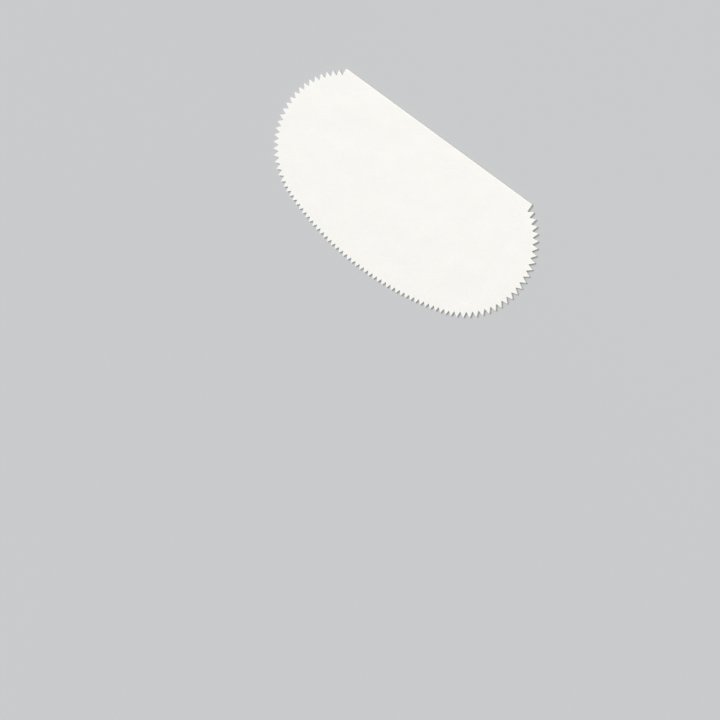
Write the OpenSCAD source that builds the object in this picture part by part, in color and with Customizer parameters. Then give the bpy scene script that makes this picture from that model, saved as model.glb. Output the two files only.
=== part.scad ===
// Toothed scraper card: one thin, flexible sheet with a straight back edge to hold it by.
// The rest of its outline is a row of sharp teeth, coarse round the two sides and finer along the front.
// The card lies flat, with its lower face on Z = 0. X runs along the back edge, and the front teeth
// point to -Y.

/* [Card] */
// Width of the card over the tips of the side teeth
card_w = 120; // [112:1:150]
// Depth of the card from the back edge to the tip of the middle front tooth
card_d = 59.2; // [52:0.2:75]
// Thickness of the sheet
card_t = 1; // [0.8:0.1:2]
// Width between the points where the curve of the tips meets the line of the back edge
back_w = 88.8; // [78:0.2:100]
// How far the front edge bows out, past the lowest points of the two side curves
front_bow = 5.2; // [3:0.1:9]
// Rounding of the long edges of the back, which makes it easy to hold
grip_r = 0.3; // [0.1:0.05:0.35]
// Rounding of the two back corners, seen from above
corner_r = 0.4; // [0.2:0.1:0.8]

/* [Teeth] */
// Angle between the two flanks of a tooth
tooth_angle = 60; // [50:1:90]
// Distance between the tips of two coarse teeth, along the curve of the tips
coarse_pitch = 2.65; // [2:0.05:3]
// Number of coarse teeth on each side
coarse_count = 23; // [12:1:24]
// Distance aimed at between the tips of two fine teeth, which share the front evenly
fine_pitch = 2.2; // [1.6:0.05:3]
// Distance of the first tip from the line of the back edge, along the curve of the tips
first_tip = 4; // [3.5:0.1:6]
// Rounding of the tip of each tooth
tip_r = 0.1; // [0.05:0.05:0.25]
// Rounding of the bottom of each gap
root_r = 0.1; // [0.05:0.05:0.25]

/* [Hidden] */

// Straight steps that stand in for each small rounding of the outline
round_steps = 4;

// Sides of the circles that round the long edges of the back
circle_sides = 48;

// The outline's back edge lies at back_y, and the front's middle tip at -back_y
back_y = card_d / 2;

// Each side curve is a circle that touches the card's widest line and the foot line, front_bow short of the
// front, and passes through the end of back_w
side_out = (card_w - back_w) / 2;
side_down = card_d - front_bow;
side_r = side_out + side_down - sqrt(2 * side_out * side_down);
side_x = card_w / 2 - side_r;
side_y = back_y - side_down + side_r;

// The front curve touches both side curves and reaches the front's middle
front_r = side_x * side_x / (2 * front_bow) + side_r + front_bow / 2;
front_y = front_r - back_y;

// Directions from the curves' centres, to the line of the back edge and to the join of side and front
start_a = asin((back_y - side_y) / side_r);
join_a = atan2(side_y - front_y, side_x);

// Length of the curve of the tips along one side, and from the back edge to the middle of the front
side_run = side_r * (start_a - join_a) * PI / 180;
half_run = side_run + front_r * (join_a + 90) * PI / 180;

// The fine teeth fill what the coarse ones leave of the row
fine_start = first_tip + (coarse_count - 0.5) * coarse_pitch;
fine_run = 2 * (half_run - fine_start);
fine_count = max(1, round(fine_run / fine_pitch));
fine_step = fine_run / fine_count;

// Distances of all tips along the row, and a further one past each end, which shapes the corner
tips = [
    for (i = [-1:coarse_count - 1]) first_tip + i * coarse_pitch,
    for (i = [0:fine_count - 1]) fine_start + (i + 0.5) * fine_step,
    for (i = [1 - coarse_count:1]) 2 * half_run - first_tip + i * coarse_pitch
];
last = len(tips) - 1;

// How far the rounding takes a tip back from the point where its flanks meet
tip_loss = tip_r * (1 / sin(tooth_angle / 2) - 1);

function unit(v) = v / norm(v);
function mirrored(p) = [-p.x, p.y];

// Point at distance s along the curve of the tips, set inwards by depth
function edge_point(s, depth) =
    s > half_run ? mirrored(edge_point(2 * half_run - s, depth))
    : s < side_run ? [side_x, side_y] + on_circle(side_r - depth, start_a - degrees_of(s, side_r))
    : [0, front_y] + on_circle(front_r - depth, join_a - degrees_of(s - side_run, front_r));
function on_circle(r, a) = r * [cos(a), sin(a)];
function degrees_of(run, r) = run / r * 180 / PI;

// Where the flanks of tip i meet, and where those of tips i and i + 1 meet in the gap between them
function tip_point(i) = edge_point(tips[i], -tip_loss);
function root_point(i) =
    edge_point((tips[i] + tips[i + 1]) / 2, (tips[i + 1] - tips[i]) / 2 / tan(tooth_angle / 2) - tip_loss);

// The first flank runs on to the line of the back edge, and makes the corner there
function run_to_back(from, to) = from + (to - from) * (back_y - from.y) / (to.y - from.y);
corner = run_to_back(root_point(0), tip_point(0));

// The outline's sharp points, clockwise from the right-hand corner, each with its rounding
sharp_points = [
    [corner, corner_r],
    for (i = [0:last - 1])
        each [[root_point(i), root_r], if (i < last - 1) [tip_point(i + 1), tip_r]],
    [mirrored(corner), corner_r]
];

// Points of the rounding r at point p, between its neighbours a and b
function rounding(a, p, b, r) =
    let (
        to_a = unit(a - p),
        to_b = unit(b - p),
        half_a = acos(to_a * to_b) / 2,
        centre = p + unit(to_a + to_b) * r / sin(half_a),
        start = p + to_a * r / tan(half_a) - centre,
        turn = sign(cross(to_b, to_a)) * (180 - 2 * half_a)
    )
    [for (k = [0:round_steps]) centre + on_circle(r, atan2(start.y, start.x) + turn * k / round_steps)];

module outline() {
    n = len(sharp_points);
    polygon([
        for (i = [0:n - 1])
            each rounding(
                sharp_points[(i + n - 1) % n][0], sharp_points[i][0], sharp_points[(i + 1) % n][0],
                sharp_points[i][1]
            )
    ]);
}

// The sheet's cross-section from front to back, drawn with depth along x: its long back edges are rounded
module side_profile() {
    union() {
        translate([-card_d, 0]) square([card_d + back_y - grip_r, card_t]);
        translate([-card_d, grip_r]) square([card_d + back_y, card_t - 2 * grip_r]);
        for (z = [grip_r, card_t - grip_r])
            translate([back_y - grip_r, z]) circle(r = grip_r, $fn = circle_sides);
    }
}

// The card, moulded in one piece
module scraper_card() {
    color([0.96, 0.95, 0.92])
        intersection() {
            linear_extrude(card_t) outline();
            translate([-card_w, 0, 0]) rotate([90, 0, 90]) linear_extrude(2 * card_w) side_profile();
        }
}

scraper_card();
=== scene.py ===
from math import acos, asin, atan2, cos, pi, radians, sin, sqrt, tan

import bmesh
import bpy
from mathutils import Matrix, Vector


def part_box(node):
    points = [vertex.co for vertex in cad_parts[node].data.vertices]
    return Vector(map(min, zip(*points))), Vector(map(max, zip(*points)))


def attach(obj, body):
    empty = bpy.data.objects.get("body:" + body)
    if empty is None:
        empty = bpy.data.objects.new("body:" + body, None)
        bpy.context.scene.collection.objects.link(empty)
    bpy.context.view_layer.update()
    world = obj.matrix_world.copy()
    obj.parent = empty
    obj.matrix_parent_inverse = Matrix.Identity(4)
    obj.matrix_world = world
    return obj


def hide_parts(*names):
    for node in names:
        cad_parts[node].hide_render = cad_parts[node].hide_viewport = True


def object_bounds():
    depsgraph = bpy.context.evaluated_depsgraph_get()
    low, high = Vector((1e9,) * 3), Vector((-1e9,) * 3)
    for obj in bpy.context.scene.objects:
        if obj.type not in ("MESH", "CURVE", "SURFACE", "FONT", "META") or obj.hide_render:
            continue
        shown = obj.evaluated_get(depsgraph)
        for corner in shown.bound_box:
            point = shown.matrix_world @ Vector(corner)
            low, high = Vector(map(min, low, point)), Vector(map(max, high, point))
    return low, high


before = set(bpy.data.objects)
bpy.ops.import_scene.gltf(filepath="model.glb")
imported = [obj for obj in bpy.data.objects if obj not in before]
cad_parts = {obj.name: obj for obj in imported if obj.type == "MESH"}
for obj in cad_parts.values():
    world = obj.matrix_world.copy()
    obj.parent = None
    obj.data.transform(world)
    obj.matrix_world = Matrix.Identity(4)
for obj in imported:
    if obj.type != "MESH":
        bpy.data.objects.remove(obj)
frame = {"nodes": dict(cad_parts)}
cadLow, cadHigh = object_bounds()
cardLow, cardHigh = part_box("scraper_card")
scene = bpy.context.scene

# A toothed scraper card: one thin sheet of white plastic that lies flat.
# Lengths are in metres, and mm turns millimetres into metres.
mm = 0.001
print("frame loaded:", ", ".join(frame["nodes"]))

# The camera looks down on the card from beyond its back edge. It is rolled, so that the back edge
# falls from the upper left to the lower right.
camera = {
    "aim": (21.97 * mm, -57.58 * mm, cardHigh.z),
    "distance": 683.55 * mm,
    "azimuth": 42.56,
    "elevation": 63.74,
    "roll": -96.97,
    "lens": 90,
    "sensor": 36,
    "near": 10 * mm,
    "far": 20,
}


def lookDirections(azimuth, elevation, roll):
    back = Vector((cos(azimuth) * cos(elevation), sin(azimuth) * cos(elevation), sin(elevation)))
    level = Vector((-sin(azimuth), cos(azimuth), 0))
    right = Matrix.Rotation(roll, 3, back) @ level
    return right, back.cross(right), back


def addCamera(values):
    right, up, back = lookDirections(*[radians(values[k]) for k in ("azimuth", "elevation", "roll")])
    data = bpy.data.cameras.new("productCamera")
    data.lens = values["lens"]
    data.sensor_width = values["sensor"]
    data.dof.use_dof = False
    data.clip_start = values["near"]
    data.clip_end = values["far"]
    made = bpy.data.objects.new("productCamera", data)
    turned = Matrix((right, up, back)).transposed().to_4x4()
    made.matrix_world = Matrix.Translation(Vector(values["aim"]) + back * values["distance"]) @ turned
    scene.collection.objects.link(made)
    scene.camera = made


addCamera(camera)
print("camera placed")

# The card: a straight back edge, and a row of teeth along three arcs that touch each other.
card = {
    "width": 120 * mm,  # over the curve of the tips
    "depth": 59.2 * mm,
    "thickness": cardHigh.z - cardLow.z,
    "backWidth": 88.8 * mm,  # where the curve of the tips meets the line of the back edge
    "frontBow": 5.2 * mm,
    "toothAngle": radians(60),
    "coarsePitch": 2.65 * mm,
    "coarseCount": 23,  # on each side
    "finePitch": 2.2 * mm,
    "firstTip": 4 * mm,
    "tipRadius": 0.1 * mm,
    "rootRadius": 0.1 * mm,
    "cornerRadius": 0.4 * mm,  # of the two back corners
    "cornerWear": 0.5,  # rubbed half as much as the tips
    "cornerSteps": 4,  # short sides in each rounding of the outline
    "toothEdge": 0.08 * mm,  # softened long edges of the teeth
    "backEdge": 0.3 * mm,  # rounder ones along the straight back
    "edgeSteps": 4,  # rows of faces in each softened edge
    "leastRadius": 0.01 * mm,  # what a corner's rounding keeps where the softened edge eats into it
    "bandDepth": 4.5 * mm,  # strip of the face that carries the teeth
    "bandSpread": 0.5 * mm,  # length of its inner side behind each tip and root
}


def tipCurve(c):
    # two side arcs and a flat front arc, with the lengths that they give the row of teeth
    backY = c["depth"] / 2
    out = (c["width"] - c["backWidth"]) / 2
    down = c["depth"] - c["frontBow"]
    sideRadius = out + down - sqrt(2 * out * down)
    side = Vector((c["width"] / 2 - sideRadius, backY - down + sideRadius))
    frontRadius = side.x**2 / (2 * c["frontBow"]) + sideRadius + c["frontBow"] / 2
    front = Vector((0, frontRadius - backY))
    start = asin((backY - side.y) / sideRadius)
    join = atan2(side.y - front.y, side.x)
    sideRun = sideRadius * (start - join)
    return {
        "backY": backY,
        "side": side,
        "sideRadius": sideRadius,
        "front": front,
        "frontRadius": frontRadius,
        "start": start,
        "join": join,
        "sideRun": sideRun,
        "halfRun": sideRun + frontRadius * (join + pi / 2),
    }


def onRow(curve, distance, depth):
    # the point at that distance along the curve of the tips, set inwards by depth
    if distance > curve["halfRun"]:
        twin = onRow(curve, 2 * curve["halfRun"] - distance, depth)
        return Vector((-twin.x, twin.y))
    if distance < curve["sideRun"]:
        angle = curve["start"] - distance / curve["sideRadius"]
        return curve["side"] + (curve["sideRadius"] - depth) * Vector((cos(angle), sin(angle)))
    angle = curve["join"] - (distance - curve["sideRun"]) / curve["frontRadius"]
    return curve["front"] + (curve["frontRadius"] - depth) * Vector((cos(angle), sin(angle)))


def tipDistances(c, curve):
    # coarse, fine, coarse, with one tip more at each end, whose flank makes the corner of the back edge
    fineStart = c["firstTip"] + (c["coarseCount"] - 0.5) * c["coarsePitch"]
    fineRun = 2 * (curve["halfRun"] - fineStart)
    fineCount = round(fineRun / c["finePitch"])
    coarse = [c["firstTip"] + i * c["coarsePitch"] for i in range(-1, c["coarseCount"])]
    fine = [fineStart + (i + 0.5) * fineRun / fineCount for i in range(fineCount)]
    return coarse + fine + [2 * curve["halfRun"] - d for d in reversed(coarse)]


def sharpOutline(c, curve):
    # clockwise from the right-hand corner: place, rounding, wear, and the distance along the row
    tips = tipDistances(c, curve)
    halfAngle = c["toothAngle"] / 2
    tipLoss = c["tipRadius"] * (1 / sin(halfAngle) - 1)
    teeth = []
    for before, after in zip(tips, tips[1:]):
        gap = (before + after) / 2
        gapDepth = (after - before) / 2 / tan(halfAngle) - tipLoss
        root = {"at": onRow(curve, gap, gapDepth), "radius": c["rootRadius"], "wear": 0, "row": gap}
        tip = {"at": onRow(curve, after, -tipLoss), "radius": c["tipRadius"], "wear": 1, "row": after}
        teeth += [root, tip]
    teeth.pop()  # the last tip lies past the corner
    inner, outer = teeth[0]["at"], onRow(curve, tips[0], -tipLoss)
    corner = inner + (outer - inner) * (curve["backY"] - inner.y) / (outer.y - inner.y)
    ends = []
    for x in (corner.x, -corner.x):
        at = Vector((x, corner.y))
        ends.append({"at": at, "radius": c["cornerRadius"], "wear": c["cornerWear"], "row": None})
    return [ends[0], *teeth, ends[1]]


def crossing(a, b):
    return a.x * b.y - a.y * b.x


def insetOutline(c, sharp, toothInset, backInset):
    # the outline set inwards, with each sharp corner turned into cornerSteps short sides. The back edge,
    # between the last corner and the first, has an inset of its own.
    count = len(sharp)
    points = []
    for i, corner in enumerate(sharp):
        before = (corner["at"] - sharp[i - 1]["at"]).normalized()
        after = (sharp[(i + 1) % count]["at"] - corner["at"]).normalized()
        insets = [backInset if i == 0 else toothInset, backInset if i == count - 1 else toothInset]
        inBefore = Vector((before.y, -before.x)) * insets[0]
        inAfter = Vector((after.y, -after.x)) * insets[1]
        turning = crossing(before, after)
        place = corner["at"] + inBefore + before * crossing(inAfter - inBefore, after) / turning
        outward = turning < 0
        inset = sum(insets) / 2
        radius = max(corner["radius"] - inset, c["leastRadius"]) if outward else corner["radius"] + inset
        halfAngle = acos(-before.dot(after)) / 2
        centre = place + (after - before).normalized() * radius / sin(halfAngle)
        spoke = place - before * radius / tan(halfAngle) - centre
        turn = (pi - 2 * halfAngle) * (-1 if outward else 1)
        for k in range(c["cornerSteps"] + 1):
            points.append(centre + Matrix.Rotation(turn * k / c["cornerSteps"], 2) @ spoke)
    return points


def bandOutline(c, curve, sharp):
    # one point behind each point of the toothed outline, on a smooth curve inside the gaps
    backY = curve["backY"] - c["bandDepth"]
    innerRadius = curve["sideRadius"] - c["bandDepth"]
    cornerX = curve["side"].x + sqrt(innerRadius**2 - (backY - curve["side"].y) ** 2)
    points = []
    for i, corner in enumerate(sharp):
        for k in range(c["cornerSteps"] + 1):
            if corner["row"] is None:
                points.append(Vector((cornerX if i == 0 else -cornerX, backY)))
            else:
                distance = corner["row"] + (k / c["cornerSteps"] - 0.5) * c["bandSpread"]
                points.append(onRow(curve, distance, c["bandDepth"]))
    return points


def edgeRadii(c, sharp):
    # the softened edge grows from the teeth's to the back's round each back corner
    radii = []
    for i in range(len(sharp)):
        for k in range(c["cornerSteps"] + 1):
            share = k / c["cornerSteps"]
            backShare = 1 - share if i == 0 else share if i == len(sharp) - 1 else 0
            radii.append(c["toothEdge"] + backShare * (c["backEdge"] - c["toothEdge"]))
    return radii


def buildCard(c):
    # levels of points from the lower face's band, up round the edges, to the upper face's band
    curve = tipCurve(c)
    sharp = sharpOutline(c, curve)
    band = bandOutline(c, curve, sharp)
    radii = edgeRadii(c, sharp)
    wears = [corner["wear"] for corner in sharp for _ in range(c["cornerSteps"] + 1)]
    shape = bmesh.new()
    wearLayer = shape.verts.layers.float.new("toothWear")

    def addLevel(points, heights, levelWears):
        level = []
        for point, height, wear in zip(points, heights, levelWears):
            vert = shape.verts.new((point.x, point.y, height))
            vert[wearLayer] = wear
            level.append(vert)
        return level

    angles = [k / c["edgeSteps"] * pi / 2 for k in range(c["edgeSteps"] + 1)]
    zeros = [0] * len(band)  # heights on the lower face, and no wear on the bands
    levels = [addLevel(band, zeros, zeros)]
    for upper, ordered in ((False, reversed(angles)), (True, angles)):
        for angle in ordered:
            share = 1 - cos(angle)
            points = insetOutline(c, sharp, share * c["toothEdge"], share * c["backEdge"])
            rises = [radius * (1 - sin(angle)) for radius in radii]
            heights = [c["thickness"] - rise if upper else rise for rise in rises]
            levels.append(addLevel(points, heights, wears))
    levels.append(addLevel(band, [c["thickness"]] * len(band), zeros))

    last = len(levels) - 2
    for j in range(len(levels) - 1):
        for i in range(len(band)):
            n = (i + 1) % len(band)
            side = shape.faces.new((levels[j][i], levels[j][n], levels[j + 1][n], levels[j + 1][i]))
            side.material_index = 0 if j in (0, last) else 1  # the bands belong to the faces
            side.smooth = True
    for level in (levels[0], levels[-1]):
        shape.faces.new(level).smooth = True
    bmesh.ops.remove_doubles(shape, verts=shape.verts, dist=c["leastRadius"] / 10)
    bmesh.ops.recalc_face_normals(shape, faces=shape.faces)
    mesh = bpy.data.meshes.new("scraperCard")
    shape.to_mesh(mesh)
    shape.free()
    made = bpy.data.objects.new("scraperCard", mesh)
    scene.collection.objects.link(made)
    weighted = made.modifiers.new("flatFaces", "WEIGHTED_NORMAL")
    weighted.keep_sharp = True
    return made


scraperCard = buildCard(card)
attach(scraperCard, "root")
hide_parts("scraper_card")
print("card built:", len(scraperCard.data.vertices), "vertices")


# Shader groups: masks, tones and heights that change over the surface
def feed(tree, socket, value):
    if isinstance(value, bpy.types.NodeSocket):
        tree.links.new(value, socket)
    else:
        socket.default_value = value


def addNode(tree, kind, values=None, **settings):
    node = tree.nodes.new(kind)
    for name, setting in settings.items():
        setattr(node, name, setting)
    for name, value in (values or {}).items():
        feed(tree, node.inputs[name], value)
    return node


def addMath(tree, operation, *values, clamp=False):
    node = addNode(tree, "ShaderNodeMath", dict(enumerate(values)), operation=operation, use_clamp=clamp)
    return node.outputs[0]


def mixColours(tree, factor, first, second):
    # sockets 0, 6 and 7 are the factor and the two colours
    values = {0: factor, 6: first, 7: second}
    return addNode(tree, "ShaderNodeMix", values, data_type="RGBA").outputs[2]


def startGroup(name, inputs, output):
    tree = bpy.data.node_groups.new(name, "ShaderNodeTree")
    for label, value in inputs.items():
        socket = tree.interface.new_socket(name=label, in_out="INPUT", socket_type="NodeSocketFloat")
        socket.default_value = value
    tree.interface.new_socket(name=output, in_out="OUTPUT", socket_type="NodeSocketFloat")
    return tree, tree.nodes.new("NodeGroupInput").outputs, tree.nodes.new("NodeGroupOutput").inputs


def addNoise(tree, place, size, detail=2.0, roughness=0.5):
    scale = addMath(tree, "DIVIDE", 1.0, size)
    values = {"Vector": place, "Scale": scale, "Detail": detail, "Roughness": roughness}
    return addNode(tree, "ShaderNodeTexNoise", values).outputs["Fac"]


patterns = {
    "pitShare": 0.4,  # the rest of the mould's grain is noise
    "grainDetail": 3.0,
    "mottleRoughness": 0.45,
    # the direction of each set of scuffs, and its length and its patches in spacings
    "scuffLines": ((radians(35), 11, 1.1), (radians(-58), 7, 1.4)),
    "scuffThrough": 0.1,  # the scuffs change fast through the sheet, so that its two faces differ
    "scuffDetail": 1.0,
    "scuffEnds": 6.0,  # how suddenly a hairline breaks off
    "leastWear": 0.4,
    "wearPatches": 0.8,
    "wearPower": 2.0,
}


def makeMouldGrain(p):
    # fine rounded pits that the satin face of the mould leaves
    tree, given, put = startGroup("mouldGrain", {"Size": 0.2 * mm}, "Height")
    place = tree.nodes.new("ShaderNodeTexCoord").outputs["Object"]
    scale = addMath(tree, "DIVIDE", 1.0, given["Size"])
    cells = addNode(tree, "ShaderNodeTexVoronoi", {"Vector": place, "Scale": scale}, feature="SMOOTH_F1")
    fine = addNoise(tree, place, given["Size"], p["grainDetail"])
    pits = addMath(tree, "MULTIPLY", cells.outputs["Distance"], p["pitShare"])
    feed(tree, put["Height"], addMath(tree, "MULTIPLY_ADD", fine, 1 - p["pitShare"], pits))
    return tree


def makeSoftMottle(p):
    # slow changes of tone, gloss or level across a surface
    tree, given, put = startGroup("softMottle", {"Size": 20 * mm, "Detail": 4.0}, "Tone")
    place = tree.nodes.new("ShaderNodeTexCoord").outputs["Object"]
    feed(tree, put["Tone"], addNoise(tree, place, given["Size"], given["Detail"], p["mottleRoughness"]))
    return tree


def makeHairScuffs(p):
    # thin, broken hairlines in two directions, from use and from lying in a drawer
    tree, given, put = startGroup("hairScuffs", {"Spacing": 6 * mm, "Width": 0.03}, "Mask")
    place = tree.nodes.new("ShaderNodeTexCoord").outputs["Object"]
    lines = []
    for direction, length, patchSize in p["scuffLines"]:
        # this kind of mapping acts on the noise itself, which is stretched first and then turned
        values = {"Vector": place, "Rotation": (0, 0, direction), "Scale": (length, 1, p["scuffThrough"])}
        turned = addNode(tree, "ShaderNodeMapping", values, vector_type="TEXTURE").outputs[0]
        wave = addNoise(tree, turned, given["Spacing"], p["scuffDetail"])
        away = addMath(tree, "ABSOLUTE", addMath(tree, "SUBTRACT", wave, 0.5))
        line = addMath(tree, "SUBTRACT", 1.0, addMath(tree, "DIVIDE", away, given["Width"]), clamp=True)
        # the patches differ in size, so that the two directions break in other places
        patches = addNoise(tree, place, addMath(tree, "MULTIPLY", given["Spacing"], patchSize))
        above = addMath(tree, "SUBTRACT", patches, 0.5)
        kept = addMath(tree, "MULTIPLY", above, p["scuffEnds"], clamp=True)
        lines.append(addMath(tree, "MULTIPLY", line, kept))
    feed(tree, put["Mask"], addMath(tree, "MAXIMUM", *lines))
    return tree


def makeTipWear(p):
    # rubbing towards the tips of the teeth, in small patches
    tree, given, put = startGroup("tipWear", {"Near": 0.0, "Size": 1.5 * mm}, "Mask")
    place = tree.nodes.new("ShaderNodeTexCoord").outputs["Object"]
    patches = addNoise(tree, place, given["Size"])
    patchy = addMath(tree, "MULTIPLY_ADD", patches, p["wearPatches"], p["leastWear"])
    near = addMath(tree, "POWER", given["Near"], p["wearPower"])
    feed(tree, put["Mask"], addMath(tree, "MULTIPLY", near, patchy, clamp=True))
    return tree


mouldGrain = makeMouldGrain(patterns)
softMottle = makeSoftMottle(patterns)
hairScuffs = makeHairScuffs(patterns)
tipWear = makeTipWear(patterns)
print("shader groups made")


def startMaterial(name):
    made = bpy.data.materials.new(name)
    made.use_nodes = True
    return made, made.node_tree, made.node_tree.nodes["Principled BSDF"]


def useGroup(tree, group, **values):
    node = addNode(tree, "ShaderNodeGroup", node_tree=group)
    for name, value in values.items():
        feed(tree, node.inputs[name], value)
    return node.outputs[0]


# Warm white polypropylene: a satin face, and slightly smoother edges
plastic = {
    "white": (0.94, 0.928, 0.89, 1),
    "cream": (0.925, 0.909, 0.866, 1),
    "worn": (0.95, 0.941, 0.912, 1),
    "specular": 0.5,
    "ior": 1.49,
    "subsurface": 0.1,
    "subsurfaceRadius": (1.0, 0.85, 0.6),
    "subsurfaceScale": 0.4 * mm,
    "mottleSize": 24 * mm,
    "waveSize": 12 * mm,
    "waveDetail": 1.0,
    "waveRoughness": 0.12,
    "scuffSpacing": 7 * mm,
    "scuffWidth": 0.02,
    "tipPolish": 0.06,  # the rubbed tips are that much smoother
}
faceFinish = {
    "roughness": 0.36,
    "grainSize": 0.25 * mm,
    "grainDepth": 0.04 * mm,
    "waveDepth": 0.3 * mm,
    "scuffRoughness": 0.16,
    "scuffDepth": 0.02 * mm,
}
edgeFinish = {
    "roughness": 0.3,
    "grainSize": 0.15 * mm,
    "grainDepth": 0.015 * mm,
    "waveDepth": 0.1 * mm,
    "scuffRoughness": 0.05,
    "scuffDepth": 0.0075 * mm,
}


def makePlastic(name, p, finish):
    made, tree, shader = startMaterial(name)
    mottle = useGroup(tree, softMottle, Size=p["mottleSize"])
    waves = useGroup(tree, softMottle, Size=p["waveSize"], Detail=p["waveDetail"])
    grain = useGroup(tree, mouldGrain, Size=finish["grainSize"])
    scuffs = useGroup(tree, hairScuffs, Spacing=p["scuffSpacing"], Width=p["scuffWidth"])
    near = addNode(tree, "ShaderNodeAttribute", attribute_name="toothWear").outputs["Fac"]
    wear = useGroup(tree, tipWear, Near=near)
    colour = mixColours(tree, wear, mixColours(tree, mottle, p["white"], p["cream"]), p["worn"])
    feed(tree, shader.inputs["Base Color"], colour)

    smoothest = finish["roughness"] - p["waveRoughness"] / 2
    rough = addMath(tree, "MULTIPLY_ADD", waves, p["waveRoughness"], smoothest)
    rough = addMath(tree, "MULTIPLY_ADD", scuffs, finish["scuffRoughness"], rough)
    rough = addMath(tree, "MULTIPLY_ADD", wear, -p["tipPolish"], rough)
    feed(tree, shader.inputs["Roughness"], rough)

    # heights in metres: the grain, the slow waves of a moulded sheet, and the scratches
    height = addMath(tree, "MULTIPLY", grain, finish["grainDepth"])
    height = addMath(tree, "MULTIPLY_ADD", waves, finish["waveDepth"], height)
    height = addMath(tree, "MULTIPLY_ADD", scuffs, -finish["scuffDepth"], height)
    bump = addNode(tree, "ShaderNodeBump", {"Height": height, "Distance": 1.0, "Strength": 1.0})
    feed(tree, shader.inputs["Normal"], bump.outputs["Normal"])
    shader.inputs["Specular IOR Level"].default_value = p["specular"]
    shader.inputs["IOR"].default_value = p["ior"]
    shader.inputs["Subsurface Weight"].default_value = p["subsurface"]
    shader.inputs["Subsurface Radius"].default_value = p["subsurfaceRadius"]
    shader.inputs["Subsurface Scale"].default_value = p["subsurfaceScale"]
    return made


scraperCard.data.materials.append(makePlastic("cardFace", plastic, faceFinish))
scraperCard.data.materials.append(makePlastic("cardEdge", plastic, edgeFinish))
print("plastic finished")

# Plain pale floor that runs into the backdrop, lit by one soft sun and an even sky
studio = {
    "floorSize": 12,
    "floorDrop": 0.02 * mm,  # keeps the floor clear of the card's lower face
    "pale": (0.60, 0.607, 0.615, 1),
    "shaded": (0.585, 0.592, 0.60, 1),
    "mottleSize": 300 * mm,
    "floorRoughness": 0.9,
    "backdropStrength": 0.975,  # as bright as the lit floor
    "sky": (0.97, 0.985, 1.0, 1),
    "skyStrength": 0.52,
    "sunFrom": (-0.5, 0.26, 1.1),
    "sunSize": radians(32),
    "sunStrength": 1.72,
    "sunColour": (1.0, 0.985, 0.965),
}


def addFloor(s):
    shape = bmesh.new()
    bmesh.ops.create_grid(shape, x_segments=1, y_segments=1, size=s["floorSize"] / 2)
    mesh = bpy.data.meshes.new("floor")
    shape.to_mesh(mesh)
    shape.free()
    floor = bpy.data.objects.new("floor", mesh)
    floor.location.z = cadLow.z - s["floorDrop"]
    scene.collection.objects.link(floor)
    made, tree, shader = startMaterial("paleFloor")
    mottle = useGroup(tree, softMottle, Size=s["mottleSize"])
    feed(tree, shader.inputs["Base Color"], mixColours(tree, mottle, s["pale"], s["shaded"]))
    shader.inputs["Roughness"].default_value = s["floorRoughness"]
    shader.inputs["Specular IOR Level"].default_value = 0
    mesh.materials.append(made)


def addLights(s):
    # the sky lights the scene evenly, and the camera and gloss see a backdrop of the floor's colour instead
    world = bpy.data.worlds.new("studioSky")
    world.use_nodes = True
    tree = world.node_tree
    sky = tree.nodes["Background"]
    sky.inputs["Color"].default_value = s["sky"]
    sky.inputs["Strength"].default_value = s["skyStrength"]
    values = {"Color": s["pale"], "Strength": s["backdropStrength"]}
    backdrop = addNode(tree, "ShaderNodeBackground", values)
    path = addNode(tree, "ShaderNodeLightPath").outputs
    seen = addMath(tree, "MAXIMUM", path["Is Camera Ray"], path["Is Glossy Ray"])
    seen = addMath(tree, "MAXIMUM", seen, path["Is Transmission Ray"])
    either = addNode(tree, "ShaderNodeMixShader", {0: seen, 1: sky.outputs[0], 2: backdrop.outputs[0]})
    feed(tree, tree.nodes["World Output"].inputs["Surface"], either.outputs[0])
    scene.world = world
    data = bpy.data.lights.new("softSun", "SUN")
    data.angle = s["sunSize"]
    data.energy = s["sunStrength"]
    data.color = s["sunColour"]
    sun = bpy.data.objects.new("softSun", data)
    sun.location = s["sunFrom"]
    sun.rotation_euler = (-Vector(s["sunFrom"])).to_track_quat("-Z", "Y").to_euler()
    scene.collection.objects.link(sun)


addFloor(studio)
addLights(studio)
scene.view_settings.view_transform = "Standard"
print("studio lit")
